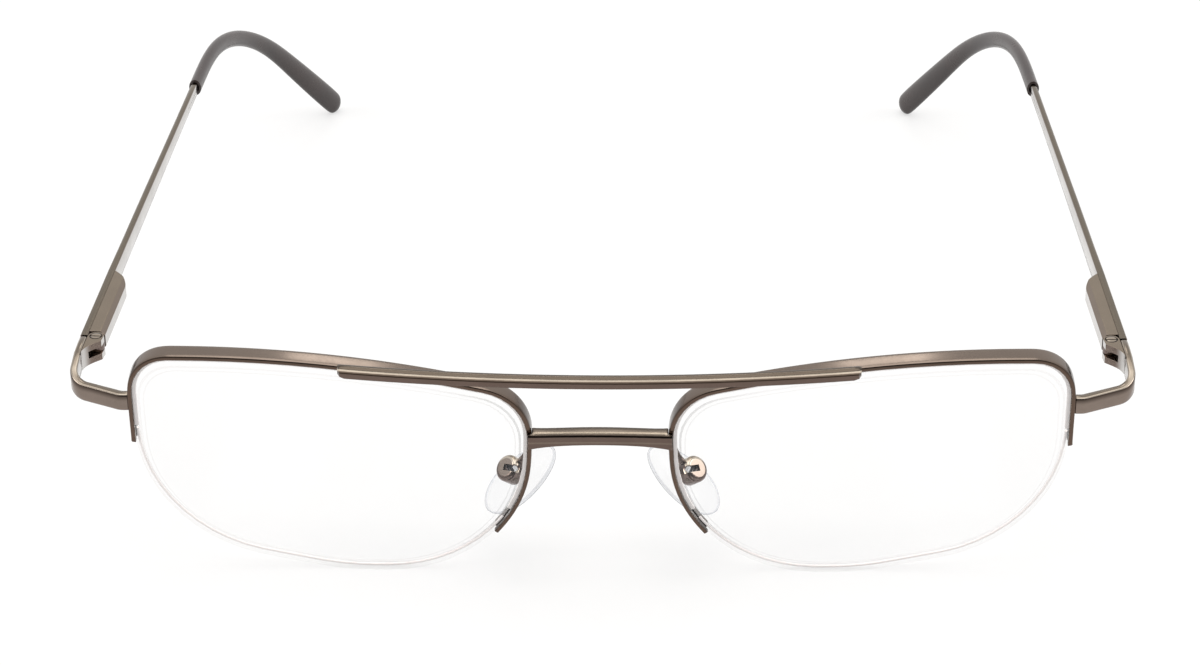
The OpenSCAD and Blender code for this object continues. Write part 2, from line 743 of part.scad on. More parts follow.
pad_place = [bridge_width / 2 + 2.5, 5.9, lens_b - 20.1];
pad_gap = 1.1;
box_front = -1.1;
box_back = 1.15;
tab_wide = 1.8;
box_round = 0.6;
box_slot = 0.85;
box_wall_start = box_back - 0.45;
module at_pad() {
    translate(pad_place) rotate([0, -pad_splay, 0]) rotate([0, 0, -pad_bevel]) children();
}
module pad_box() {
    color(metal_light) at_pad() difference() {
        rotate([0, 90, 0]) rotate_extrude() polygon([
            [0, box_front], [pad_box_r, box_front], [pad_box_r, box_back - box_round],
            [pad_box_r - 0.08 * box_round, box_back - 0.6 * box_round],
            [pad_box_r - 0.3 * box_round, box_back - 0.3 * box_round],
            [pad_box_r - 0.6 * box_round, box_back - 0.08 * box_round],
            [pad_box_r - box_round, box_back], [0, box_back]
        ]);
        translate([box_front - 1, -tab_wide / 2 - 0.1, -1.15])
            cube([box_wall_start - box_front + 1, tab_wide + 0.2, 2.3]);
        rotate([45, 0, 0]) translate([box_wall_start - 0.4, -box_slot / 2, -0.3])
            cube([2, box_slot, pad_box_r + 1]);
        across_pad(pad_screw_r + seat_gap / 2, 2 * pad_box_r + 1);
    }
}
pad_screw_r = 0.33;
module across_pad(r, length) {
    rotate([90, 0, 0]) translate([0, 0, -length / 2]) cylinder(h = length, r = r, $fn = 32);
}
module pad_screw() {
    color(steel) at_pad() {
        across_pad(pad_screw_r, 2 * pad_box_r - 0.3);
        translate([0, -pad_box_r + 0.45, 0]) rotate([90, 0, 0])
            cylinder(h = 0.5, r = pad_screw_r);
    }
}

// The pad's face is a dome on an egg-shaped plan
function pad_plan(share, x) = [
    for (k = [0 : 23])
        let (t = 15 * k, egg = 1 - 0.12 * sin(t))
        [x, share * egg * pad_width / 2 * cos(t), share * pad_length / 2 * sin(t) - pad_low]
];
// Each level of the pad as its share of the plan and its share of the thickness
pad_levels = [
    [0.84, 0], [0.96, 0.1], [1, 0.3], [0.97, 0.52], [0.87, 0.72], [0.68, 0.88], [0.4, 0.97], [0.12, 1]
];
pad_low = 0.7;
module nose_pad() {
    back = box_front - pad_gap;
    color(clear_plastic) at_pad() difference() {
        union() {
            loft([for (level = pad_levels) pad_plan(level[0], back - pad_thick * level[1])]);
            translate([back - 0.3, -tab_wide / 2, -0.75]) cube([0.3 - back + 0.45, tab_wide, 1.5]);
        }
        across_pad(pad_screw_r + pivot_gap, tab_wide + 1);
    }
}

// The pad arm loops from the back of the rim to the back of the pad box
function bezier(p, t) =
    pow(1 - t, 3) * p[0] + 3 * t * pow(1 - t, 2) * p[1] + 3 * t * t * (1 - t) * p[2] + pow(t, 3) * p[3];
pad_up = [-sin(pad_splay), 0, cos(pad_splay)];
arm_end = pad_place + (pad_box_r + seat_gap) * pad_up;
arm_start = front_point(arm_seat, rim_wide + 2 * seat_gap);
arm_knots = [
    world(arm_start),
    world(arm_start + 5.4 * front_normal(arm_seat)),
    arm_end + 3.2 * pad_up,
    arm_end
];
module pad_arm() {
    n = 16;
    color(metal_light) loft([
        for (k = [0 : n])
            let (
                t = k / n,
                ahead = unit(bezier(arm_knots, min(1, t + 0.01)) - bezier(arm_knots, max(0, t - 0.01))),
                side = unit(cross(ahead, [0, 0, 1])),
                up = cross(side, ahead)
            )
            ring_at(
                bezier(arm_knots, t), side, up,
                oval_section(2 * pad_arm_r, 2 * pad_arm_r, 8)
            )
    ]);
}

brow_bar();
lower_bridge();
left() rim();  // left_rim
left() lens();  // left_lens
left() nylon_cord();  // left_nylon_cord
left() rim_liner();  // left_rim_liner
left() endpiece();  // left_endpiece
left() front_hinge();  // left_front_hinge
left() hinge_screw();  // left_hinge_screw
left() shuttle();  // left_shuttle
left() hinge_spring();  // left_hinge_spring
left() spring_bushing();  // left_spring_bushing
left() spring_housing();  // left_spring_housing
left() temple_bar();  // left_temple_bar
left() temple_tip();  // left_temple_tip
left() pad_arm();  // left_pad_arm
left() pad_box();  // left_pad_box
left() pad_screw();  // left_pad_screw
left() nose_pad();  // left_nose_pad
right() rim();  // right_rim
right() lens();  // right_lens
right() nylon_cord();  // right_nylon_cord
right() rim_liner();  // right_rim_liner
right() endpiece();  // right_endpiece
right() front_hinge();  // right_front_hinge
right() hinge_screw();  // right_hinge_screw
right() shuttle();  // right_shuttle
right() hinge_spring();  // right_hinge_spring
right() spring_bushing();  // right_spring_bushing
right() spring_housing();  // right_spring_housing
right() temple_bar();  // right_temple_bar
right() temple_tip();  // right_temple_tip
right() pad_arm();  // right_pad_arm
right() pad_box();  // right_pad_box
right() pad_screw();  // right_pad_screw
right() nose_pad();  // right_nose_pad
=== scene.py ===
"""Half-rim reading glasses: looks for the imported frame.

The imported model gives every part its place. This script gives each part its finished
surface, adds the small pieces that only show, and sets up the studio and the camera.
"""

import json
import logging
import math
from abc import ABC, abstractmethod
from dataclasses import dataclass, field, replace
from enum import Enum
from typing import Any

import bpy
from mathutils import Matrix, Vector
from mathutils.bvhtree import BVHTree

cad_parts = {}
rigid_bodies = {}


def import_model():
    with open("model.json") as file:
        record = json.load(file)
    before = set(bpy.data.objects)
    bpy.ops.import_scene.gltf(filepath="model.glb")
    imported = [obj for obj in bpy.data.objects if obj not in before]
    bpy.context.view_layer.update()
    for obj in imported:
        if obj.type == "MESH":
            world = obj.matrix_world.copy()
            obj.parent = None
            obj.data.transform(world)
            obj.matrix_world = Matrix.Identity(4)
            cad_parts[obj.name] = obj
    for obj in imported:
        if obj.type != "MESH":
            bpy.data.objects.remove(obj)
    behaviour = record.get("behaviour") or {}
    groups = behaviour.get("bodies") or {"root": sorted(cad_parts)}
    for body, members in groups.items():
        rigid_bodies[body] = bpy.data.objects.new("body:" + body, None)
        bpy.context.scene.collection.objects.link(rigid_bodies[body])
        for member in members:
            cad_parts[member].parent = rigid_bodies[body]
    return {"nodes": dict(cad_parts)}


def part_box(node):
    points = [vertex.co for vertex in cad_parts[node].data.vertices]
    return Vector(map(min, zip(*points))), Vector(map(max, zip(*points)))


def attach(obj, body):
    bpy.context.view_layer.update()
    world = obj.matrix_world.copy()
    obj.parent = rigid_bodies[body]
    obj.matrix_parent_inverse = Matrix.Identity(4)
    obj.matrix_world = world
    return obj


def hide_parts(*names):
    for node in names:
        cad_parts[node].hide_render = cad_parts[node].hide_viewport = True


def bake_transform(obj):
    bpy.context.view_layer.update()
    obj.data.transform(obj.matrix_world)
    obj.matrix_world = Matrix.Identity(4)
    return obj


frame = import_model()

log = logging.getLogger("glasses")

Triple = tuple[float, float, float]
Colour = Triple
Range = tuple[float, float]

MM = 0.001
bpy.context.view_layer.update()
FRONT_BODY = "front"
X_AXIS = (1.0, 0.0, 0.0)
Y_AXIS = (0.0, 1.0, 0.0)
Z_AXIS = (0.0, 0.0, 1.0)
WHITE = (1.0, 1.0, 1.0)
# Through a lens from front to back, leaning down by the lens's tilt
LENS_TILT = math.radians(6.5)
LENS_AXIS = (0.0, math.cos(LENS_TILT), -math.sin(LENS_TILT))
# Up and towards the back, where the crests of the two bars are highest; the painted highlight and
# shade stripes of the bars are measured along it
CREST_AXIS = (0.0, 0.475, 0.88)
# Corners of a part's loose triangles that lie this close are one point
WELD_MM = 0.002


class Side(Enum):
    """The wearer's left and right half."""

    LEFT = "left"
    RIGHT = "right"

    def part(self, name: str) -> str:
        """The name of this half's part."""
        return f"{self.value}_{name}"


class Body(Enum):
    """The moving bodies of one half, apart from the front."""

    KNUCKLE = "knuckle"
    TEMPLE = "temple"
    PAD = "pad"

    def of(self, side: Side) -> str:
        """The body's name on one side."""
        return f"{side.value}_{self.value}"


class Slot(Enum):
    """The record's material slots."""

    FRONT = "front_metal"
    HINGE = "hinge_metal"
    STEEL = "screw_steel"
    TIP = "tip_plastic"
    LENS = "clear_lens"
    CLEAR = "clear_plastic"


def corners(part: str) -> tuple[Vector, Vector]:
    """The lowest and the highest corner of a part at rest, in metres."""
    low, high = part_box(part)
    return Vector(low), Vector(high)


def centre(part: str) -> Vector:
    """The middle of a part's box at rest, in metres."""
    low, high = corners(part)
    return (low + high) / 2


# Shader maths


# Places of the colour sockets of a Mix node, which shares their names among its types
MIX_SHARE, MIX_FIRST, MIX_SECOND, MIX_RESULT = 0, 6, 7, 2


class Wire:
    """A socket that adds Math nodes when it is used in an expression."""

    def __init__(self, graph: "Graph", socket: bpy.types.NodeSocket) -> None:
        """Keeps the socket and the graph that it is in."""
        self.graph = graph
        self.socket = socket

    def _with(self, operation: str, *others: Any) -> "Wire":
        """A Math node on this socket and others."""
        return self.graph.math(operation, self, *others)

    def __add__(self, other: Any) -> "Wire":
        """Sum."""
        return self._with("ADD", other)

    __radd__ = __add__

    def __mul__(self, other: Any) -> "Wire":
        """Product."""
        return self._with("MULTIPLY", other)

    __rmul__ = __mul__

    def __sub__(self, other: Any) -> "Wire":
        """Difference."""
        return self._with("SUBTRACT", other)

    def __rsub__(self, other: Any) -> "Wire":
        """Difference from a number."""
        return self.graph.math("SUBTRACT", other, self)

    def __truediv__(self, other: Any) -> "Wire":
        """Quotient."""
        return self._with("DIVIDE", other)

    def __pow__(self, other: Any) -> "Wire":
        """Power."""
        return self._with("POWER", other)

    def __abs__(self) -> "Wire":
        """Size without sign."""
        return self._with("ABSOLUTE")

    def over(self, low: float, high: float) -> "Wire":
        """Rises smoothly from 0 at low to 1 at high.

        Args:
            low: Value below which the result is 0.
            high: Value above which the result is 1.

        Returns:
            The eased share.
        """
        return self.graph.node(
            "ShaderNodeMapRange",
            {"interpolation_type": "SMOOTHSTEP"},
            {"Value": self, "From Min": low, "From Max": high},
            "Result",
        )


class Graph:
    """The node graph of a material or of the world."""

    def __init__(self, tree: bpy.types.NodeTree, output: str) -> None:
        """Empties the graph and gives it its output.

        Args:
            tree: The node tree to fill.
            output: The type of its output node.
        """
        self.tree = tree
        self.tree.nodes.clear()
        self.output = self.tree.nodes.new(output)

    def _plug(self, target: bpy.types.NodeSocket, value: Any) -> None:
        """Links a wire to a socket, or sets the socket's value."""
        if isinstance(value, Wire):
            self.tree.links.new(value.socket, target)
        elif isinstance(value, tuple) and len(value) == 3 and target.type == "RGBA":
            target.default_value = (*value, 1.0)
        else:
            target.default_value = value

    def node(
        self,
        kind: str,
        settings: dict[str, Any] | None = None,
        inputs: dict[Any, Any] | None = None,
        output: Any = 0,
    ) -> Wire:
        """Adds one node.

        Args:
            kind: The node's type.
            settings: Its settings, such as an operation or a ramp's stops.
            inputs: Values or wires for its sockets.
            output: The name or number of the socket to return.

        Returns:
            The chosen output.
        """
        made = self.tree.nodes.new(kind)
        for key, value in (settings or {}).items():
            if key == "stops":
                stops = made.color_ramp.elements
                for at, (place, colour) in enumerate(value):
                    stop = stops[at] if at < len(stops) else stops.new(place)
                    stop.position = place
                    stop.color = (*colour, 1.0)
            else:
                setattr(made, key, value)
        for key, value in (inputs or {}).items():
            self._plug(made.inputs[key], value)
        return Wire(self, made.outputs[output])

    def math(self, operation: str, *values: Any) -> Wire:
        """A Math node on wires and numbers."""
        return self.node("ShaderNodeMath", {"operation": operation}, dict(enumerate(values)))

    def most(self, first: Wire, *others: Wire) -> Wire:
        """The highest of some values."""
        for other in others:
            first = self.math("MAXIMUM", first, other)
        return first

    def rays(self, *kinds: str) -> list[Wire]:
        """For each kind of ray, 1 where light travels as that kind and 0 elsewhere."""
        return [self.node("ShaderNodeLightPath", output=f"Is {kind} Ray") for kind in kinds]

    def close(self, shader: Wire) -> None:
        """Links the shader to the output."""
        self.tree.links.new(shader.socket, self.output.inputs["Surface"])


class Paint(Graph):
    """A material's node graph."""

    def __init__(self, name: str) -> None:
        """Makes the material.

        Args:
            name: The material's name.
        """
        self.material = bpy.data.materials.new(name)
        self.material.use_nodes = True
        super().__init__(self.material.node_tree, "ShaderNodeOutputMaterial")

    def place(self) -> Wire:
        """The point on the piece, in metres."""
        return self.node("ShaderNodeTexCoord", output="Object")

    def stretched(self, scale: Triple) -> Wire:
        """The point on the piece with each axis scaled."""
        return self.node("ShaderNodeMapping", inputs={"Vector": self.place(), "Scale": scale})

    def cloud(self, size_mm: float, detail: float = 2.0, at: Wire | None = None) -> Wire:
        """Soft noise.

        Args:
            size_mm: Size of its features.
            detail: Octaves of finer noise.
            at: Point to read, if not the place on the piece.

        Returns:
            A share that averages a half.
        """
        return self.node(
            "ShaderNodeTexNoise",
            inputs={
                "Vector": at or self.place(),
                "Scale": 1 / (size_mm * MM),
                "Detail": detail,
            },
        )

    def blend(self, share: Any, first: Any, second: Any) -> Wire:
        """A colour between two.

        Args:
            share: How much of the second.
            first: The first colour.
            second: The second colour.

        Returns:
            The mixed colour.
        """
        return self.node(
            "ShaderNodeMix",
            {"data_type": "RGBA"},
            {MIX_SHARE: share, MIX_FIRST: first, MIX_SECOND: second},
            MIX_RESULT,
        )

    def facing(self, blend: float) -> Wire:
        """0 where a surface faces the viewer and 1 at its outline."""
        return self.node("ShaderNodeLayerWeight", inputs={"Blend": blend}, output="Facing")

    def dot(self, vector: Wire, axis: Triple) -> Wire:
        """The part of a vector that lies along an axis."""
        return self.node(
            "ShaderNodeVectorMath",
            {"operation": "DOT_PRODUCT"},
            {0: vector, 1: axis},
            "Value",
        )

    def along(self, axis: Triple) -> Wire:
        """How far the surface looks along an axis of the piece, from -1 to 1."""
        return self.dot(self.node("ShaderNodeTexCoord", output="Normal"), axis)

    def spot(self, axis: Triple) -> Wire:
        """How far the point on the piece lies along an axis, in metres."""
        return self.dot(self.place(), axis)

    def spot_mm(self, axis: Triple) -> Wire:
        """How far the point on the piece lies along an axis, in millimetres."""
        return self.dot(self.place(), tuple(part / MM for part in axis))

    def line(self, value: Wire, middle: float, half: float, core: float = 0.4) -> Wire:
        """A line across the surface.

        Args:
            value: What the line follows.
            middle: The value at the middle of the line.
            half: How far the line reaches to each side.
            core: The share of that reach which is full.

        Returns:
            1 in the core, falling to 0 at the line's sides.
        """
        return 1 - abs(value - middle).over(core * half, half)

    def relief(self, height: Wire, depth_mm: float, strength: float = 1.0) -> Wire:
        """A bump from a height.

        Args:
            height: The height, from 0 to 1.
            depth_mm: How deep 1 is.
            strength: How much of it shows.

        Returns:
            The bent normal.
        """
        return self.node(
            "ShaderNodeBump",
            inputs={"Height": height, "Distance": depth_mm * MM, "Strength": strength},
        )

    def surface(self, **values: Any) -> bpy.types.Material:
        """Closes the graph with a Principled shader.

        Args:
            values: Socket values, with underscores for the spaces in their names.

        Returns:
            The material.
        """
        inputs = {key.replace("_", " "): value for key, value in values.items()}
        self.close(self.node("ShaderNodeBsdfPrincipled", inputs=inputs, output="BSDF"))
        return self.material


# Finishes


class Inside(Enum):
    """Which faces of a part are its inner ones, with a painted reflection tone of their own."""

    NONE = "none"
    HEAD = "towards the head"
    LENS = "towards the lens"


@dataclass(frozen=True, kw_only=True)
class Plating(ABC):
    """Metal with a plated coat, faintly clouded and with fine polishing lines."""

    name: str
    dark: Colour = (0.05, 0.036, 0.028)
    clouding: float = 0.12
    roughness: float = 0.13
    line_depth_mm: float = 0.0006

    @abstractmethod
    def tone(self, paint: Paint) -> Wire:
        """The colour before clouding."""

    def material(self) -> bpy.types.Material:
        """Builds the material."""
        paint = Paint(self.name)
        cloud = paint.cloud(size_mm=5.0, detail=3.0).over(0.3, 0.7)
        fine = paint.cloud(size_mm=0.35, detail=4.0)
        lines = paint.cloud(size_mm=1.0, at=paint.stretched((0.25, 0.25, 6.0)))
        dulled = cloud * self.clouding + fine * self.clouding
        return paint.surface(
            Base_Color=paint.blend(dulled, self.tone(paint), self.dark),
            Metallic=1.0,
            Roughness=self.roughness + 0.06 * cloud + 0.05 * fine,
            Normal=paint.relief(lines * 0.6 + fine * 0.4, self.line_depth_mm, 0.5),
        )


@dataclass(frozen=True, kw_only=True)
class BentPlating(Plating):
    """Plating of a bent or cast part, with painted light: a tone for each way that its faces look.

    Faces that look up have the top tone, those that look inwards the inner one, and all
    others the side's. The top tone is painted light, lighter or darker than the side's as
    the lamps fall, and the inner one is a painted reflection. A painted highlight and a line
    of painted shade follow the upper edges. Each range says how far a face has to look that
    way for the tone to start and to be full, and each line has a middle and a reach on the
    same scale.
    """

    # Top tone: painted light, lighter or darker than the side's as the lamps fall
    top: Colour
    side: Colour
    inside: Inside = Inside.HEAD
    # Strengths of the painted highlight and of the painted shade line on the upper edges
    highlight_strength: float = 0.0
    edge_shade_strength: float = 0.0
    # Painted reflection tone of the inner faces
    inner: Colour = (0.62, 0.6, 0.58)
    # Colour of the painted highlight on the upper edges
    pale: Colour = (0.62, 0.55, 0.46)
    up_range: Range = (0.55, 0.9)
    head_range: Range = (0.72, 0.95)
    lens_range: Range = (0.45, 0.8)
    highlight_line: Range = (0.78, 0.2)
    shade_line: Range = (0.35, 0.32)

    def inwards(self, paint: Paint) -> Any:
        """How much a face looks inwards, from 0 to 1."""
        if self.inside is Inside.NONE:
            return 0.0
        half = paint.math("SIGN", paint.spot(X_AXIS))
        if self.inside is Inside.HEAD:
            return (-1.0 * half * paint.along(X_AXIS)).over(*self.head_range)
        middle = centre(Side.LEFT.part("lens"))
        across = half * middle.x - paint.spot(X_AXIS)
        rise = middle.z - paint.spot(Z_AXIS)
        reach = (across * across + rise * rise) ** 0.5
        look = across * paint.along(X_AXIS) + rise * paint.along(Z_AXIS)
        return (look / reach).over(*self.lens_range)

    def tone(self, paint: Paint) -> Wire:
        """The colour before clouding."""
        up = paint.along(Z_AXIS)
        # Painted light: faces that look up take the top tone
        colour = paint.blend(up.over(*self.up_range), self.side, self.top)
        if self.highlight_strength > 0:
            # Painted highlight along the upper edges
            pale = paint.line(up, *self.highlight_line) * self.highlight_strength
            colour = paint.blend(pale, colour, self.pale)
        if self.edge_shade_strength > 0:
            # Painted shade line along the upper edges
            dark = paint.line(up, *self.shade_line) * self.edge_shade_strength
            colour = paint.blend(dark, colour, self.dark)
        # Painted reflection on faces that look inwards
        return paint.blend(self.inwards(paint), colour, self.inner)


@dataclass(frozen=True, kw_only=True)
class ScrewPlating(Plating):
    """Plating of a slotted screw, with painted shade in its slot and round its head's rim.

    The rim's painted shade starts and is full at two distances from the screw's axis. The
    slot's is full at the first height over the screw's top and ends at the second. The
    measures of the left screw serve both.
    """

    metal: Colour
    part: str = "left_hinge_screw"
    rim_shade_mm: Range = (0.6, 0.76)
    slot_shade_mm: Range = (-0.17, -0.04)

    def tone(self, paint: Paint) -> Wire:
        """The colour before clouding."""
        middle, top = centre(self.part) / MM, corners(self.part)[1].z / MM
        across = abs(paint.spot_mm(X_AXIS)) - middle.x
        along = paint.spot_mm(Y_AXIS) - middle.y
        rim = ((across * across + along * along) ** 0.5).over(*self.rim_shade_mm)
        slot = 1 - (paint.spot_mm(Z_AXIS) - top).over(*self.slot_shade_mm)
        # Painted shade in the slot and in the gap round the head
        return paint.blend(paint.most(rim, slot), self.metal, self.dark)


@dataclass(frozen=True)
class Stripe:
    """A colour from one drop below the crest of a bar to the next stripe."""

    drop_mm: float
    colour: Colour


@dataclass(frozen=True, kw_only=True)
class StripedPlating(Plating):
    """Plating of a bar, with painted highlights and painted shade in stripes along its length.

    The stripes follow the bar's crest, which rises or falls to its ends as a parabola, and
    end where the bar turns to the back. Each fades into the next, and its edge shivers.
    """

    part: str
    back: Colour
    stripes: tuple[Stripe, ...]
    deepest_mm: float = 2.4
    fade_mm: float = 0.07
    shiver: float = 0.02
    back_range: Range = (0.2, 0.6)

    def stops(self) -> list[tuple[float, Colour]]:
        """Where on the ramp each stripe starts and starts to fade, with its colour."""
        found = []
        for stripe, after in zip(self.stripes, self.stripes[1:] + (None,)):
            found.append((stripe.drop_mm / self.deepest_mm, stripe.colour))
            if after:
                fades = (after.drop_mm - self.fade_mm) / self.deepest_mm
                found.append((fades, stripe.colour))
        return found

    def tone(self, paint: Paint) -> Wire:
        """The colour before clouding."""
        across = paint.spot(X_AXIS)
        middle, rise = crest_of(self.part)
        crest = middle + rise * across * across
        drop = (crest - paint.spot(CREST_AXIS)) / (self.deepest_mm * MM)
        shiver = (paint.cloud(size_mm=0.6) - 0.5) * self.shiver
        # Stripes of painted highlight and painted shade below the crest
        striped = paint.node(
            "ShaderNodeValToRGB", {"stops": self.stops()}, {"Fac": drop + shiver}, "Color"
        )
        behind = paint.along(Y_AXIS).over(*self.back_range)
        return paint.blend(behind, striped, self.back)


def crest_of(part: str) -> tuple[float, float]:
    """Fits the crest of a bar along its length.

    Args:
        part: The bar's name.

    Returns:
        How high the crest is in the middle along the crest axis, in metres, and how much it
        rises with the square of the distance from there.
    """
    axis = Vector(CREST_AXIS)
    points = [(abs(v.co.x), v.co.dot(axis)) for v in frame["nodes"][part].data.vertices]
    half = max(x for x, _ in points)
    near, far = 0.1 * half, 0.6 * half
    middle = max(height for x, height in points if x < near)
    rise = max((height - middle) / x**2 for x, height in points if x > far)
    return middle, rise


@dataclass(frozen=True)
class TurnedSteel:
    """Bright steel with rings from turning and a faint warm tarnish."""

    name: str
    base: Colour
    tarnish: Colour
    roughness: float = 0.24

    def material(self) -> bpy.types.Material:
        """Builds the material."""
        paint = Paint(self.name)
        fine = paint.cloud(size_mm=0.2, detail=3.0)
        patch = paint.cloud(size_mm=1.6, detail=3.0).over(0.4, 0.65)
        rings = paint.cloud(size_mm=0.5, at=paint.stretched((0.6, 0.6, 9.0)))
        return paint.surface(
            Base_Color=paint.blend(patch * 0.7 + fine * 0.3, self.base, self.tarnish),
            Metallic=1.0,
            Roughness=self.roughness + 0.12 * fine,
            Normal=paint.relief(rings, depth_mm=0.003, strength=0.5),
        )


@dataclass(frozen=True)
class MouldedTip:
    """Dark glossy plastic, a little uneven in shade, with polishing haze."""

    name: str
    base: Colour
    deep: Colour
    roughness: float = 0.16

    def material(self) -> bpy.types.Material:
        """Builds the material."""
        paint = Paint(self.name)
        cloud = paint.cloud(size_mm=7.0, detail=3.0).over(0.3, 0.7)
        grain = paint.cloud(size_mm=0.5, detail=3.0)
        ripples = paint.cloud(size_mm=2.4)
        return paint.surface(
            Base_Color=paint.blend(cloud * 0.7 + grain * 0.3, self.base, self.deep),
            Roughness=self.roughness + 0.06 * cloud + 0.05 * grain,
            Coat_Weight=0.08 + 0.12 * cloud,
            Coat_Roughness=0.1,
            IOR=1.46,
            Specular_IOR_Level=0.3,
            Normal=paint.relief(ripples, depth_mm=0.004, strength=0.4),
        )


@dataclass(frozen=True)
class GroundLens:
    """Clear lens, nearly unseen on its faces, with a frosted ground edge.

    The edge is told from the faces by how little it looks along the lens's axis.
    """

    name: str
    clear: Colour
    edge: Colour
    face_range: Range = (0.45, 0.9)
    edge_shade: float = 0.85

    def material(self) -> bpy.types.Material:
        """Builds the material."""
        paint = Paint(self.name)
        ground = 1 - abs(paint.along(LENS_AXIS)).over(*self.face_range)
        haze = paint.cloud(size_mm=3.0, detail=3.0)
        shaded = tuple(self.edge_shade * part for part in self.edge)
        sheen = paint.facing(0.25)
        return paint.surface(
            Base_Color=paint.blend(ground, self.clear, paint.blend(haze, self.edge, shaded)),
            Roughness=0.03 + 0.3 * ground + 0.02 * haze,
            Alpha=0.015 + 0.01 * haze + 0.1 * sheen + 0.05 * ground,
            Coat_Weight=0.4 + 0.2 * haze,
            Coat_Roughness=0.02,
            IOR=1.5,
        )


@dataclass(frozen=True)
class ClearSoft:
    """Clear soft plastic, greyer where the eye looks along its surface.

    It is least opaque in the middle and most at the outline, and a line runs inside it.
    """

    name: str
    body: Colour
    outline: Colour
    least: float
    most: float
    inner: float
    inner_line: Range = (0.5, 0.1)
    outline_range: Range = (0.5, 0.9)
    roughness: float = 0.1

    def material(self) -> bpy.types.Material:
        """Builds the material."""
        paint = Paint(self.name)
        haze = paint.cloud(size_mm=1.5, detail=3.0)
        fine = paint.cloud(size_mm=0.3)
        turned = paint.facing(0.5)
        outline = turned.over(*self.outline_range)
        inner = self.inner * paint.line(turned, *self.inner_line)
        middle = self.least * (0.7 + 0.6 * haze)
        return paint.surface(
            Base_Color=paint.blend(outline, self.body, self.outline),
            Roughness=self.roughness + 0.1 * haze,
            Alpha=middle + (self.most - self.least) * outline + inner,
            Coat_Weight=0.5 + 0.2 * haze,
            Coat_Roughness=0.05,
            Normal=paint.relief(fine, depth_mm=0.002, strength=0.3),
        )


@dataclass(frozen=True)
class MilkyNylon:
    """Pale nylon, a little cloudy, with a painted glow so that it has no dark side."""

    name: str
    base: Colour
    deep: Colour
    painted_glow: float = 0.28

    def material(self) -> bpy.types.Material:
        """Builds the material."""
        paint = Paint(self.name)
        cloud = paint.cloud(size_mm=1.2, detail=3.0)
        fine = paint.cloud(size_mm=0.15)
        return paint.surface(
            Base_Color=paint.blend(cloud * 0.7 + fine * 0.3, self.base, self.deep),
            Roughness=0.3 + 0.15 * cloud,
            # Painted glow that lifts the nylon's shaded side
            Emission_Color=self.base,
            Emission_Strength=self.painted_glow,
            Normal=paint.relief(fine, depth_mm=0.002, strength=0.3),
        )


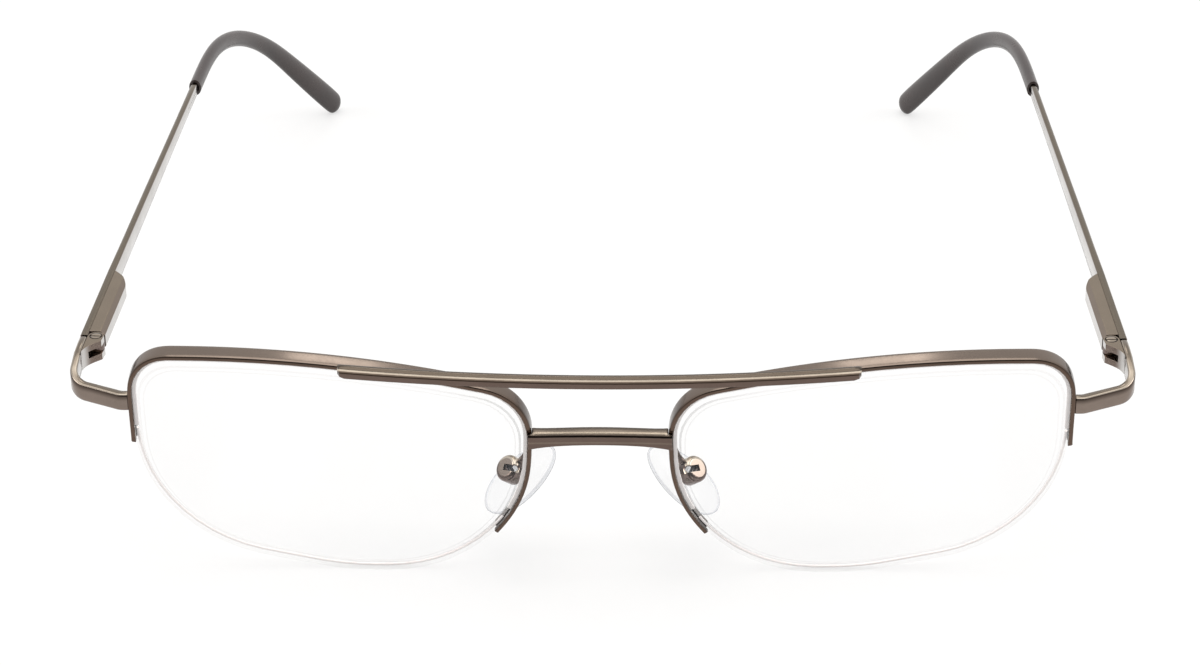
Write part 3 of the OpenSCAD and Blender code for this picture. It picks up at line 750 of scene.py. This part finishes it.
@dataclass
class Finishes:
    """All the finishes of the glasses, made once."""

    front: bpy.types.Material = field(init=False)
    rim: bpy.types.Material = field(init=False)
    endpiece: bpy.types.Material = field(init=False)
    bar: bpy.types.Material = field(init=False)
    brow: bpy.types.Material = field(init=False)
    bridge: bpy.types.Material = field(init=False)
    hinge: bpy.types.Material = field(init=False)
    screw: bpy.types.Material = field(init=False)
    steel: bpy.types.Material = field(init=False)
    tip: bpy.types.Material = field(init=False)
    lens: bpy.types.Material = field(init=False)
    cord: bpy.types.Material = field(init=False)
    pad: bpy.types.Material = field(init=False)

    def __post_init__(self) -> None:
        """Makes the materials."""
        # Every plating below paints light into its tones: a lighter top here, mirrored inner faces
        # and edge lines stand for how the lamps and the room fall on the metal
        plating = BentPlating(
            name="gunmetal_plating", top=(0.25, 0.2, 0.15), side=(0.215, 0.168, 0.143)
        )
        self.front = plating.material()
        # The temple bar's top is painted darker against the lamps' highlight on it
        self.bar = replace(
            plating, name="gunmetal_temple_bar", top=(0.165, 0.135, 0.1)
        ).material()
        # The endpiece's top is painted darker than its side against the lamps' highlight, with a
        # painted highlight and a painted shade line on its upper edge
        self.endpiece = replace(
            plating,
            name="gunmetal_endpiece",
            top=(0.2, 0.165, 0.13),
            side=(0.25, 0.2, 0.17),
            highlight_strength=0.45,
            edge_shade_strength=0.85,
        ).material()
        # The rim's top is painted lighter, its inner wall has a painted reflection tone, and a
        # painted shade line runs on its upper edge
        self.rim = replace(
            plating,
            name="gunmetal_rim",
            top=(0.2, 0.158, 0.13),
            side=(0.128, 0.088, 0.068),
            inner=(0.17, 0.15, 0.135),
            inside=Inside.LENS,
            edge_shade_strength=0.8,
        ).material()
        # The bars' stripes are painted light: the khaki top is darkened against the lamps'
        # highlight, the cream, the pale khaki and the lower glint are painted highlights, the
        # lighter brown is a painted reflection and the two shadows are painted shade; the brown is
        # the metal's own
        khaki = (0.1, 0.08, 0.062)
        brown = (0.15, 0.108, 0.09)
        highlight_cream = (0.8, 0.68, 0.55)
        sheen_brown = (0.2, 0.15, 0.115)
        sheen_khaki = (0.3, 0.25, 0.195)
        lower_glint = (0.2, 0.155, 0.125)
        thin_shadow = (0.03, 0.02, 0.014)
        deep_shadow = (0.003, 0.002, 0.002)
        self.brow = StripedPlating(
            name="gunmetal_brow_bar",
            part="brow_bar",
            back=brown,
            stripes=(
                Stripe(0.4, khaki),
                Stripe(0.64, highlight_cream),
                Stripe(0.88, sheen_brown),
                Stripe(1.06, thin_shadow),
                Stripe(1.22, brown),
            ),
        ).material()
        self.bridge = StripedPlating(
            name="gunmetal_bridge",
            part="lower_bridge",
            back=brown,
            stripes=(
                Stripe(0.46, khaki),
                Stripe(0.7, sheen_khaki),
                Stripe(0.92, khaki),
                Stripe(1.1, deep_shadow),
                Stripe(1.22, deep_shadow),
                Stripe(1.4, brown),
                Stripe(2.0, lower_glint),
                Stripe(2.2, brown),
            ),
        ).material()
        # The hinge leaves have a painted highlight and a painted shade line on their upper edges
        self.hinge = replace(
            plating,
            name="satin_hinge_plating",
            side=(0.19, 0.145, 0.13),
            inside=Inside.NONE,
            highlight_strength=0.8,
            edge_shade_strength=0.6,
            roughness=0.09,
        ).material()
        # The screw's near-black is painted shade in its slot and round its head
        self.screw = ScrewPlating(
            name="gunmetal_screw", metal=(0.36, 0.3, 0.24), dark=(0.004, 0.003, 0.003)
        ).material()
        self.steel = TurnedSteel(
            "turned_steel", base=(0.2, 0.168, 0.142), tarnish=(0.13, 0.105, 0.09)
        ).material()
        self.tip = MouldedTip(
            "dark_tip_plastic",
            base=(0.074, 0.058, 0.055),
            deep=(0.044, 0.035, 0.034),
            roughness=0.24,
        ).material()
        self.lens = GroundLens(
            "clear_lens", clear=(0.93, 0.95, 0.97), edge=(0.85, 0.8, 0.8)
        ).material()
        # The cord and liners carry a painted glow
        self.cord = MilkyNylon(
            "milky_nylon", base=(1.0, 0.97, 0.95), deep=(0.97, 0.9, 0.88)
        ).material()
        self.pad = ClearSoft(
            "clear_pad",
            body=(0.8, 0.84, 0.93),
            outline=(0.32, 0.35, 0.44),
            least=0.07,
            most=0.9,
            inner=0.4,
        ).material()


# Modelling


def clear_selection() -> None:
    """Leaves nothing selected, out of edit mode."""
    if bpy.context.object and bpy.context.object.mode != "OBJECT":
        bpy.ops.object.mode_set(mode="OBJECT")
    bpy.ops.object.select_all(action="DESELECT")


def take(piece: bpy.types.Object) -> None:
    """Makes one piece the selected and active one."""
    clear_selection()
    piece.select_set(True)
    bpy.context.view_layer.objects.active = piece


def shape(piece: bpy.types.Object, kind: str, **settings: Any) -> None:
    """Adds a modifier with settings and applies it.

    Args:
        piece: The piece to shape.
        kind: The modifier's type.
        settings: Its settings.
    """
    modifier = piece.modifiers.new(kind.lower(), kind)
    for key, value in settings.items():
        setattr(modifier, key, value)
    take(piece)
    bpy.ops.object.modifier_apply(modifier=modifier.name)


def coat(piece: bpy.types.Object, finish: bpy.types.Material) -> None:
    """Gives a piece its finish.

    Args:
        piece: The piece.
        finish: Its material.
    """
    piece.data.materials.clear()
    piece.data.materials.append(finish)
    log.info("%s, %d faces", piece.name, len(piece.data.polygons))


def dress(
    piece: bpy.types.Object, finish: bpy.types.Material, body: str
) -> None:
    """Gives a piece its finish and its body.

    Args:
        piece: The piece.
        finish: Its material.
        body: The body that it moves with.
    """
    coat(piece, finish)
    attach(piece, body)


def merged_copy(part: str, name: str) -> bpy.types.Object:
    """Copies a part and merges its loose triangles.

    Args:
        part: The part's name.
        name: The copy's name.

    Returns:
        The copy, in edit mode with all of it selected.
    """
    piece = bpy.data.objects.new(name, frame["nodes"][part].data.copy())
    bpy.context.scene.collection.objects.link(piece)
    take(piece)
    bpy.ops.object.mode_set(mode="EDIT")
    bpy.ops.mesh.select_all(action="SELECT")
    bpy.ops.mesh.customdata_custom_splitnormals_clear()
    bpy.ops.mesh.remove_doubles(threshold=WELD_MM * MM)
    return piece


@dataclass(frozen=True)
class Easing:
    """How the edges of a part are eased and its faces smoothed.

    A radius of 0 leaves the edges as the part has them. With a radius, faces within
    level_deg of each other are joined first. Flat faces keep their shade level up to their
    eased edges, which a bent strip can't. Edges within touch_mm of the part beside it stay
    sharp. Rounds divide a bent part's faces so that its bends run smooth, after triangles
    that differ by no more than the two quad angles, in radians, are paired.
    """

    radius_mm: float = 0.0
    sharp_deg: float = 35.0
    smooth_deg: float = 45.0
    segments: int = 3
    flat_faces: bool = False
    level_deg: float = 0.4
    beside: str = ""
    touch_mm: float = 0.1
    rounds: int = 0
    quad_face: float = 0.4
    quad_shape: float = 1.2


def weigh_free_edges(piece: bpy.types.Object, easing: Easing) -> None:
    """Marks the sharp edges that don't lie on the part beside the piece.

    Args:
        piece: The piece whose edges are eased next.
        easing: Says which part lies beside it and how sharp a sharp edge is.
    """
    neighbour = frame["nodes"][easing.beside].data
    tree = BVHTree.FromPolygons(
        [v.co for v in neighbour.vertices], [tuple(f.vertices) for f in neighbour.polygons]
    )
    mesh = piece.data
    sides: dict[tuple[int, int], list[Vector]] = {}
    for polygon in mesh.polygons:
        for key in polygon.edge_keys:
            sides.setdefault(key, []).append(polygon.normal.copy())
    weight = mesh.attributes.new("bevel_weight_edge", "FLOAT", "EDGE")
    for edge in mesh.edges:
        normals = sides.get(edge.key, [])
        sharp = len(normals) == 2 and normals[0].angle(normals[1], 0.0) > math.radians(
            easing.sharp_deg
        )
        ends = [mesh.vertices[v].co for v in edge.vertices]
        middle = (ends[0] + ends[1]) / 2
        free = tree.find_nearest(middle)[3] > easing.touch_mm * MM
        weight.data[edge.index].value = 1.0 if sharp and free else 0.0


def eased_copy(part: str, easing: Easing) -> bpy.types.Object:
    """Copies a part, joins its faces, eases its edges and smooths it.

    Args:
        part: The part's name.
        easing: How much to ease.

    Returns:
        The copy, which stands for the part.
    """
    piece = merged_copy(part, f"{part}_finished")
    if easing.radius_mm > 0:
        bpy.ops.mesh.dissolve_limited(angle_limit=math.radians(easing.level_deg))
    if easing.rounds > 0:
        bpy.ops.mesh.tris_convert_to_quads(
            face_threshold=easing.quad_face, shape_threshold=easing.quad_shape
        )
        bpy.ops.mesh.select_all(action="DESELECT")
        bpy.ops.mesh.edges_select_sharp(sharpness=math.radians(easing.sharp_deg))
        bpy.ops.transform.edge_crease(value=1.0)
    bpy.ops.object.mode_set(mode="OBJECT")
    if easing.rounds > 0:
        shape(piece, "SUBSURF", levels=easing.rounds, render_levels=easing.rounds)
    if easing.radius_mm > 0:
        if easing.beside:
            weigh_free_edges(piece, easing)
        shape(
            piece,
            "BEVEL",
            width=easing.radius_mm * MM,
            segments=easing.segments,
            limit_method="WEIGHT" if easing.beside else "ANGLE",
            angle_limit=math.radians(easing.sharp_deg),
            miter_outer="MITER_ARC",
        )
    take(piece)
    bpy.ops.object.shade_smooth_by_angle(angle=math.radians(easing.smooth_deg))
    if easing.flat_faces:
        shape(piece, "WEIGHTED_NORMAL", weight=100, keep_sharp=True)
    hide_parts(part)
    return piece


@dataclass
class Parts:
    """Parts that keep their shape and get their edges and finish."""

    finishes: Finishes

    def one(
        self, part: str, body: str, finish: bpy.types.Material, slot: Slot, easing: Easing
    ) -> None:
        """Makes one finished part.

        Args:
            part: The part's name.
            body: The body that it moves with.
            finish: Its material.
            slot: The record's slot for it; not used.
            easing: How its edges are eased.
        """
        dress(eased_copy(part, easing), finish, body)


@dataclass
class Front(Parts):
    """Rims, bars, endpieces, the fixed hinge leaves and their screws."""

    plain: Easing = Easing(smooth_deg=25.0)
    bent: Easing = Easing(sharp_deg=40.0, smooth_deg=25.0, rounds=1)
    lofted: Easing = Easing(0.16, sharp_deg=50.0, smooth_deg=50.0)
    fine: Easing = Easing(0.05, flat_faces=True)

    def build(self) -> None:
        """Builds every part of the front."""
        slot = Slot.FRONT
        self.one("brow_bar", FRONT_BODY, self.finishes.brow, slot, self.plain)
        self.one("lower_bridge", FRONT_BODY, self.finishes.bridge, slot, self.lofted)
        for side in Side:
            for name, finish, easing in (
                ("rim", self.finishes.rim, self.bent),
                ("endpiece", self.finishes.endpiece, self.lofted),
                ("front_hinge", self.finishes.front, self.fine),
            ):
                self.one(side.part(name), FRONT_BODY, finish, slot, easing)
            screw = side.part("hinge_screw")
            self.one(screw, FRONT_BODY, self.finishes.screw, Slot.STEEL, self.fine)


@dataclass
class Glazing(Parts):
    """Lenses with their liners and cords."""

    faces: Easing = Easing(smooth_deg=30.0)
    strip: Easing = Easing(smooth_deg=60.0)

    def build(self) -> None:
        """Builds both lenses and what holds them."""
        lens, cord = self.finishes.lens, self.finishes.cord
        for side in Side:
            self.one(side.part("lens"), FRONT_BODY, lens, Slot.LENS, self.faces)
            for name in ("rim_liner", "nylon_cord"):
                self.one(side.part(name), FRONT_BODY, cord, Slot.CLEAR, self.strip)


@dataclass(frozen=True)
class BevelGlint:
    """Painted reflections of the ground bevel of a lens as seen through the glass: thin lines
    along its edge.

    Both lines are measured inwards from the edge. They are dark within the first of the
    nose distances from the middle of the glasses and faint beyond the second.
    """

    name: str
    dark: Colour
    faint: Colour
    width_mm: float
    nose_mm: Range = (12.0, 22.0)
    near_mm: Range = (0.85, 0.2)
    far_mm: Range = (1.45, 0.12)

    def material(self) -> bpy.types.Material:
        """Builds the material."""
        paint = Paint(self.name)
        inwards = self.width_mm * paint.node(
            "ShaderNodeAttribute", {"attribute_name": "inwards"}, output="Fac"
        )
        nose = 1 - abs(paint.spot_mm(X_AXIS)).over(*self.nose_mm)
        haze = paint.cloud(size_mm=2.0, detail=3.0)
        # Painted reflection lines of the bevel, darker near the nose
        near = paint.line(inwards, *self.near_mm) * (0.04 + 0.11 * nose)
        far = paint.line(inwards, *self.far_mm) * (0.03 + 0.03 * nose)
        return paint.surface(
            Base_Color=paint.blend(nose, self.faint, self.dark),
            Roughness=0.3 + 0.2 * haze,
            Alpha=near * (0.8 + 0.3 * haze) + far,
            IOR=1.5,
        )


@dataclass
class LensBevel(Parts):
    """The bevelled border of each lens, a fine band on the line round its front face that carries
    painted reflections of the bevel.

    A face belongs to the front when it looks forwards along the lens's axis by front_look
    or more.
    """

    width_mm: float = 1.6
    thick_mm: float = 0.04
    front_look: float = 0.8

    def build(self) -> None:
        """Builds both bands."""
        # Painted reflection lines of the lens bevel, on a thin sheet over the lens
        finish = BevelGlint(
            "lens_bevel_reflection",
            dark=(0.1, 0.095, 0.085),
            faint=(0.6, 0.44, 0.4),
            width_mm=self.width_mm,
        ).material()
        for side in Side:
            dress(self.band(side), finish, FRONT_BODY)

    def outline(self, side: Side) -> bpy.types.Object:
        """Copies a lens and keeps only the line round its front face.

        Args:
            side: Which lens.

        Returns:
            The outline, in edit mode.
        """
        axis = Vector(LENS_AXIS)
        piece = merged_copy(side.part("lens"), side.part("lens_bevel_reflection"))
        bpy.ops.mesh.select_all(action="DESELECT")
        bpy.ops.object.mode_set(mode="OBJECT")
        for polygon in piece.data.polygons:
            polygon.select = polygon.normal.dot(axis) > -self.front_look
        bpy.ops.object.mode_set(mode="EDIT")
        bpy.ops.mesh.select_mode(type="FACE")
        bpy.ops.mesh.delete(type="FACE")
        bpy.ops.mesh.select_all(action="SELECT")
        bpy.ops.mesh.region_to_loop()
        bpy.ops.mesh.select_all(action="INVERT")
        bpy.ops.mesh.delete(type="EDGE")
        bpy.ops.mesh.select_mode(type="VERT")
        bpy.ops.mesh.select_all(action="DESELECT")
        bpy.ops.object.mode_set(mode="OBJECT")
        min(piece.data.vertices, key=lambda v: v.co.dot(axis)).select = True
        bpy.ops.object.mode_set(mode="EDIT")
        bpy.ops.mesh.select_linked()
        bpy.ops.mesh.select_all(action="INVERT")
        bpy.ops.mesh.delete(type="VERT")
        return piece

    def band(self, side: Side) -> bpy.types.Object:
        """Widens a lens's outline inwards and gives it a little depth.

        Args:
            side: Which lens.

        Returns:
            The band, with how far each point lies inwards as an attribute.
        """
        piece = self.outline(side)
        bpy.ops.mesh.select_mode(type="EDGE")
        bpy.ops.mesh.select_all(action="SELECT")
        bpy.ops.mesh.extrude_edges_move()
        low, high = corners(side.part("lens"))
        share = [1 - 2 * self.width_mm * MM / length for length in high - low]
        bpy.ops.transform.resize(
            value=(share[0], 1.0, share[2]), center_override=(low + high) / 2
        )
        bpy.ops.object.mode_set(mode="OBJECT")
        inwards = piece.data.attributes.new("inwards", "FLOAT", "POINT")
        for vertex in piece.data.vertices:
            inwards.data[vertex.index].value = 1.0 if vertex.select else 0.0
        shape(piece, "SOLIDIFY", thickness=self.thick_mm * MM, offset=1.0)
        return piece


@dataclass
class SpringHinge(Parts):
    """Shuttle, spring, bushing and housing of each temple."""

    knuckle: Easing = Easing(0.05)
    turned: Easing = Easing(0.03)
    coil: Easing = Easing(smooth_deg=75.0)
    box: Easing = Easing(0.3, segments=5, flat_faces=True)

    def build(self) -> None:
        """Builds both spring hinges."""
        steel, plate, plating = self.finishes.steel, self.finishes.hinge, self.finishes.front
        for side in Side:
            temple, knuckle = Body.TEMPLE.of(side), Body.KNUCKLE.of(side)
            box = replace(self.box, beside=side.part("temple_bar"))
            self.one(side.part("shuttle"), knuckle, plate, Slot.HINGE, self.knuckle)
            self.spring(side)
            self.one(side.part("spring_bushing"), temple, steel, Slot.STEEL, self.turned)
            self.one(side.part("spring_housing"), temple, plating, Slot.FRONT, box)

    def spring(self, side: Side) -> None:
        """Makes a hinge's spring.

        Args:
            side: Which hinge.
        """
        part = side.part("hinge_spring")
        piece = eased_copy(part, self.coil)
        coat(piece, self.finishes.steel)
        Body.TEMPLE.of(side)
        Body.KNUCKLE.of(side)
        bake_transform(piece)


@dataclass
class Temple(Parts):
    """Temple bar and its plastic tip."""

    straight: Easing = Easing(smooth_deg=50.0)
    sleeve: Easing = Easing(sharp_deg=55.0, smooth_deg=50.0, rounds=2)

    def build(self) -> None:
        """Builds both temples."""
        bar, tip = self.finishes.bar, self.finishes.tip
        for side in Side:
            temple = Body.TEMPLE.of(side)
            self.one(side.part("temple_bar"), temple, bar, Slot.FRONT, self.straight)
            self.one(side.part("temple_tip"), temple, tip, Slot.TIP, self.sleeve)


@dataclass
class NosePad(Parts):
    """Arm, box, screw and clear pad."""

    wire: Easing = Easing(smooth_deg=60.0)
    cup: Easing = Easing(0.08, flat_faces=True)
    turned: Easing = Easing(0.03)
    soft: Easing = Easing(sharp_deg=60.0, smooth_deg=60.0, rounds=1)

    def build(self) -> None:
        """Builds both nose pads."""
        plate, steel, clear = self.finishes.hinge, self.finishes.steel, self.finishes.pad
        for side in Side:
            pad = Body.PAD.of(side)
            self.one(side.part("pad_arm"), FRONT_BODY, plate, Slot.HINGE, self.wire)
            self.one(side.part("pad_box"), FRONT_BODY, plate, Slot.HINGE, self.cup)
            self.one(side.part("pad_screw"), FRONT_BODY, steel, Slot.STEEL, self.turned)
            self.one(side.part("nose_pad"), pad, clear, Slot.CLEAR, self.soft)


# Studio


@dataclass(frozen=True)
class SoftBox:
    """A square lamp that looks at the glasses."""

    name: str
    place: Triple
    size: float
    watts: float
    colour: Colour

    def build(self) -> None:
        """Adds the lamp."""
        clear_selection()
        bpy.ops.object.light_add(type="AREA", location=self.place)
        lamp = bpy.context.object
        lamp.name = self.name
        lamp.data.shape = "SQUARE"
        lamp.data.size = self.size
        lamp.data.energy = self.watts
        lamp.data.color = self.colour
        lamp.rotation_euler = (-Vector(self.place)).to_track_quat("-Z", "Y").to_euler()


@dataclass
class Studio:
    """Pale floor, lamps, world and camera.

    The camera's place is that of the photograph, solved together with the frame's outline:
    the point that it looks at in metres, its turn round the glasses, its height and its
    roll in degrees, its distance in metres and its focal length in the photograph's pixels.
    Mirrors see a white room that darkens towards its front, over a range of directions.
    """

    floor_side: float = 6.0
    floor_grey: float = 0.42
    floor_glow: float = 0.56
    world_level: float = 0.55
    room_range: Range = (-0.95, -0.45)
    room_dark: float = 0.2
    target: Triple = (0.00014334, -0.0729195, 0.03709058)
    azimuth: float = 1.44902
    elevation: float = 28.3585
    roll: float = -0.4939
    distance: float = 0.43
    focal_px: float = 3426.435
    image_px: float = 1200.0
    sensor_mm: float = 36.0
    nearest: float = 0.01

    def build(self) -> None:
        """Sets up the whole studio."""
        self.view()
        self.floor()
        self.world()
        warm, warmer = (1.0, 0.98, 0.95), (1.0, 0.97, 0.94)
        for lamp in (
            SoftBox("overhead_box", (0.0, 0.0, 0.62), size=0.7, watts=2.2, colour=warm),
            SoftBox("back_box", (0.0, 1.25, 1.24), size=0.32, watts=0.95, colour=warm),
            SoftBox("left_box", (-0.75, -0.2, 0.42), size=0.4, watts=1.6, colour=warmer),
            SoftBox("right_box", (0.75, -0.1, 0.42), size=0.4, watts=1.6, colour=warmer),
        ):
            lamp.build()
        bpy.context.scene.view_settings.view_transform = "Standard"

    def view(self) -> None:
        """Places the camera as the photograph was taken."""
        a, e = math.radians(self.azimuth), math.radians(self.elevation)
        back = Vector((math.sin(a) * math.cos(e), -math.cos(a) * math.cos(e), math.sin(e)))
        clear_selection()
        bpy.ops.object.camera_add(location=Vector(self.target) + back * self.distance)
        camera = bpy.context.object
        turn = (-back).to_track_quat("-Z", "Y").to_matrix().to_4x4()
        turn = turn @ Matrix.Rotation(math.radians(self.roll), 4, "Z")
        camera.rotation_euler = turn.to_euler()
        camera.data.sensor_width = self.sensor_mm
        camera.data.lens = self.focal_px / self.image_px * self.sensor_mm
        camera.data.clip_start = self.nearest
        bpy.context.scene.camera = camera

    def floor(self) -> None:
        """Adds the floor, which glows where it is looked at and keeps the shadow."""
        clear_selection()
        bpy.ops.mesh.primitive_plane_add(size=self.floor_side)
        plane = bpy.context.object
        plane.name = "studio_floor"
        paint = Paint("pale_floor")
        seen = paint.most(*paint.rays("Camera", "Glossy", "Transmission"))
        matt = paint.node("ShaderNodeBsdfDiffuse", inputs={"Color": (self.floor_grey,) * 3})
        glow = paint.node("ShaderNodeEmission", inputs={"Strength": seen * self.floor_glow})
        paint.close(paint.node("ShaderNodeAddShader", inputs={0: matt, 1: glow}))
        plane.data.materials.append(paint.material)

    def world(self) -> None:
        """Fills the surroundings with plain light, white where it is looked at."""
        world = bpy.data.worlds.new("studio_world")
        world.use_nodes = True
        graph = Graph(world.node_tree, "ShaderNodeOutputWorld")
        camera, glossy, through, diffuse = graph.rays(
            "Camera", "Glossy", "Transmission", "Diffuse"
        )
        ahead = graph.node("ShaderNodeTexCoord", output="Generated")
        depth = graph.node("ShaderNodeSeparateXYZ", inputs={0: ahead}, output="Y")
        room = depth.over(*self.room_range) * (1.0 - self.room_dark) + self.room_dark
        level = graph.most(camera, through, glossy * room, diffuse * self.world_level)
        graph.close(graph.node("ShaderNodeBackground", inputs={"Color": WHITE, "Strength": level}))
        bpy.context.scene.world = world


def main() -> None:
    """Builds the studio and every sub-assembly in order."""
    logging.basicConfig(level=logging.INFO, format="%(name)s: %(message)s")
    Studio().build()
    finishes = Finishes()
    for assembly in (Front, Glazing, LensBevel, SpringHinge, Temple, NosePad):
        assembly(finishes).build()
        log.info("%s done", assembly.__name__)


if __name__ == "__main__":
    main()
